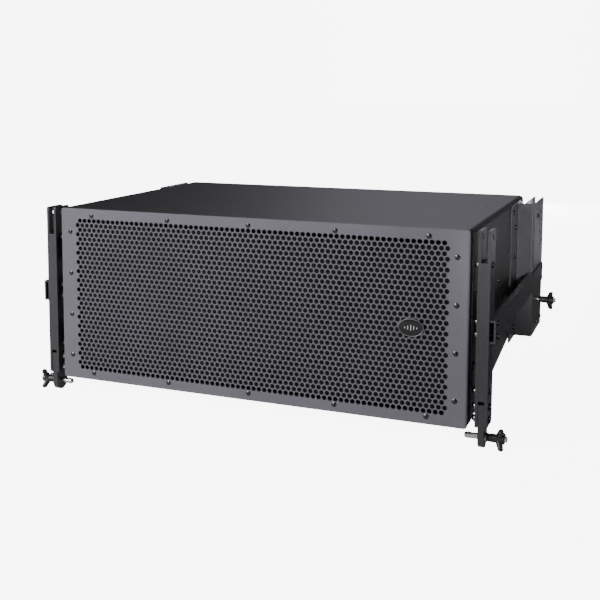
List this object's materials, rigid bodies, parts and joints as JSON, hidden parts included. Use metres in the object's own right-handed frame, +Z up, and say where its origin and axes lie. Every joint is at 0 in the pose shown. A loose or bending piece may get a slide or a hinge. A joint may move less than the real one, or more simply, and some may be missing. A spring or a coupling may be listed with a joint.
{
  "type": "line array speaker",
  "caption": "Wedge-sided loudspeaker cabinet with perforated front grille, front fork bars and tongues, side arms, rear splay brackets, sliding links and quick-release pins.",
  "frame": {"origin": "middle of the common axis of the two front fork holes, on the cabinet's centre plane", "axes": "+X to the cabinet's right seen from the front and along the pin axis, +Y towards the rear, +Z up, square to the level top"},
  "size_m": [0.91, 0.5914, 0.3552],
  "materials": {
    "painted_wood": "black textured paint on plywood",
    "raw_wood": "bare birch plywood",
    "grille_steel": "powder-coated perforated steel",
    "foam": "open-cell foam",
    "rigging_steel": "black powder coat",
    "zinc_screw": "bright zinc",
    "black_screw": "black oxide",
    "badge_plastic": "gloss black with a bright rim",
    "cast_frame": "black coated casting",
    "ferrite": "ferrite and plated steel",
    "paper": "coated paper",
    "rubber": "soft rubber",
    "spider_cloth": "resin-stiffened cloth",
    "horn_plastic": "moulded plastic",
    "driver_metal": "cast and plated metal",
    "board": "glass-fibre board",
    "coil": "enamelled wire and film capacitors",
    "plate_black": "black powder coat",
    "socket_plastic": "moulded plastic",
    "pin_steel": "polished stainless steel",
    "pin_plastic": "moulded plastic",
    "pin_chrome": "bright chrome"
  },
  "bodies": {
    "cabinet": {"top_panel": "painted_wood", "bottom_panel": "painted_wood", "side_panel_left": "painted_wood", "side_panel_right": "painted_wood", "rear_panel": "painted_wood", "baffle": "painted_wood", "chamber_walls": "raw_wood", "grille": "grille_steel", "grille_foam": "foam", "grille_screws": "black_screw", "badge": "badge_plastic", "panel_screws": "black_screw", "woofer_frames": "cast_frame", "woofer_magnets": "ferrite", "woofer_surrounds": "rubber", "woofer_spiders": "spider_cloth", "woofer_bolts": "black_screw", "waveguide": "horn_plastic", "compression_drivers": "driver_metal", "crossover_board": "board", "crossover_parts": "coil", "connector_plate": "plate_black", "speaker_sockets": "socket_plastic", "rear_handles": "rigging_steel", "handle_screws": "black_screw", "bar_plates_left": "rigging_steel", "bar_plates_right": "rigging_steel", "bar_cores": "rigging_steel", "tongues": "rigging_steel", "side_arm_left": "rigging_steel", "side_arm_right": "rigging_steel", "rear_bracket_left": "rigging_steel", "rear_bracket_right": "rigging_steel", "rear_inner_plates": "rigging_steel", "rigging_spacers": "rigging_steel", "rigging_bolts": "zinc_screw"},
    "link_left": {"rear_link_left": "rigging_steel"},
    "cone_left": {"woofer_cone_left": "paper"},
    "link_right": {"rear_link_right": "rigging_steel"},
    "cone_right": {"woofer_cone_right": "paper"},
    "pin_front_left": {"pin_shank_front_left": "pin_steel", "pin_handle_front_left": "pin_plastic"},
    "button_front_left": {"pin_button_front_left": "pin_chrome"},
    "ballup_front_left": {"ball_upper_front_left": "pin_steel"},
    "balldown_front_left": {"ball_lower_front_left": "pin_steel"},
    "pin_front_right": {"pin_shank_front_right": "pin_steel", "pin_handle_front_right": "pin_plastic"},
    "button_front_right": {"pin_button_front_right": "pin_chrome"},
    "ballup_front_right": {"ball_upper_front_right": "pin_steel"},
    "balldown_front_right": {"ball_lower_front_right": "pin_steel"},
    "pin_rear_left": {"pin_shank_rear_left": "pin_steel", "pin_handle_rear_left": "pin_plastic"},
    "button_rear_left": {"pin_button_rear_left": "pin_chrome"},
    "ballup_rear_left": {"ball_upper_rear_left": "pin_steel"},
    "balldown_rear_left": {"ball_lower_rear_left": "pin_steel"},
    "pin_rear_right": {"pin_shank_rear_right": "pin_steel", "pin_handle_rear_right": "pin_plastic"},
    "button_rear_right": {"pin_button_rear_right": "pin_chrome"},
    "ballup_rear_right": {"ball_upper_rear_right": "pin_steel"},
    "balldown_rear_right": {"ball_lower_rear_right": "pin_steel"}
  },
  "joints": [
    {"name": "rear_link_left_slide", "type": "slide", "parent": "cabinet", "child": "link_left", "axis": [0, 0, 1], "range_m": [-0.097, 0]},
    {"name": "rear_link_right_slide", "type": "slide", "parent": "cabinet", "child": "link_right", "axis": [0, 0, 1], "range_m": [-0.097, 0]},
    {"name": "woofer_cone_left_slide", "type": "slide", "parent": "cabinet", "child": "cone_left", "axis": [0, 1, 0], "range_m": [-0.004, 0.004], "stiffness_N_per_m": 2500, "deforming": ["woofer_surrounds", "woofer_spiders"]},
    {"name": "woofer_cone_right_slide", "type": "slide", "parent": "cabinet", "child": "cone_right", "axis": [0, 1, 0], "range_m": [-0.004, 0.004], "stiffness_N_per_m": 2500, "deforming": ["woofer_surrounds", "woofer_spiders"]},
    {"name": "pin_front_left_pull", "type": "slide", "parent": "cabinet", "child": "pin_front_left", "axis": [-1, 0, 0], "range_m": [0, 0.014]},
    {"name": "button_front_left_press", "type": "slide", "parent": "pin_front_left", "child": "button_front_left", "axis": [1, 0, 0], "range_m": [0, 0.0035], "stiffness_N_per_m": 400, "springref_m": -0.004},
    {"name": "ball_upper_front_left_sink", "type": "slide", "parent": "pin_front_left", "child": "ballup_front_left", "axis": [0, 0, -1], "range_m": [0, 0.0011]},
    {"name": "ball_lower_front_left_sink", "type": "slide", "parent": "pin_front_left", "child": "balldown_front_left", "axis": [0, 0, 1], "range_m": [0, 0.0011]},
    {"name": "pin_front_right_pull", "type": "slide", "parent": "cabinet", "child": "pin_front_right", "axis": [1, 0, 0], "range_m": [0, 0.014]},
    {"name": "button_front_right_press", "type": "slide", "parent": "pin_front_right", "child": "button_front_right", "axis": [-1, 0, 0], "range_m": [0, 0.0035], "stiffness_N_per_m": 400, "springref_m": -0.004},
    {"name": "ball_upper_front_right_sink", "type": "slide", "parent": "pin_front_right", "child": "ballup_front_right", "axis": [0, 0, -1], "range_m": [0, 0.0011]},
    {"name": "ball_lower_front_right_sink", "type": "slide", "parent": "pin_front_right", "child": "balldown_front_right", "axis": [0, 0, 1], "range_m": [0, 0.0011]},
    {"name": "pin_rear_left_pull", "type": "slide", "parent": "cabinet", "child": "pin_rear_left", "axis": [-1, 0, 0], "range_m": [0, 0.004]},
    {"name": "button_rear_left_press", "type": "slide", "parent": "pin_rear_left", "child": "button_rear_left", "axis": [1, 0, 0], "range_m": [0, 0.0035], "stiffness_N_per_m": 400, "springref_m": -0.004},
    {"name": "ball_upper_rear_left_sink", "type": "slide", "parent": "pin_rear_left", "child": "ballup_rear_left", "axis": [0, 0, -1], "range_m": [0, 0.0011]},
    {"name": "ball_lower_rear_left_sink", "type": "slide", "parent": "pin_rear_left", "child": "balldown_rear_left", "axis": [0, 0, 1], "range_m": [0, 0.0011]},
    {"name": "pin_rear_right_pull", "type": "slide", "parent": "cabinet", "child": "pin_rear_right", "axis": [1, 0, 0], "range_m": [0, 0.004]},
    {"name": "button_rear_right_press", "type": "slide", "parent": "pin_rear_right", "child": "button_rear_right", "axis": [-1, 0, 0], "range_m": [0, 0.0035], "stiffness_N_per_m": 400, "springref_m": -0.004},
    {"name": "ball_upper_rear_right_sink", "type": "slide", "parent": "pin_rear_right", "child": "ballup_rear_right", "axis": [0, 0, -1], "range_m": [0, 0.0011]},
    {"name": "ball_lower_rear_right_sink", "type": "slide", "parent": "pin_rear_right", "child": "balldown_rear_right", "axis": [0, 0, 1], "range_m": [0, 0.0011]}
  ],
  "couplings": [
    {"joint": "ball_upper_front_left_sink", "follows": "button_front_left_press", "ratio": 0.3},
    {"joint": "ball_lower_front_left_sink", "follows": "button_front_left_press", "ratio": 0.3},
    {"joint": "ball_upper_front_right_sink", "follows": "button_front_right_press", "ratio": 0.3},
    {"joint": "ball_lower_front_right_sink", "follows": "button_front_right_press", "ratio": 0.3},
    {"joint": "ball_upper_rear_left_sink", "follows": "button_rear_left_press", "ratio": 0.3},
    {"joint": "ball_lower_rear_left_sink", "follows": "button_rear_left_press", "ratio": 0.3},
    {"joint": "ball_upper_rear_right_sink", "follows": "button_rear_right_press", "ratio": 0.3},
    {"joint": "ball_lower_rear_right_sink", "follows": "button_rear_right_press", "ratio": 0.3}
  ]
}
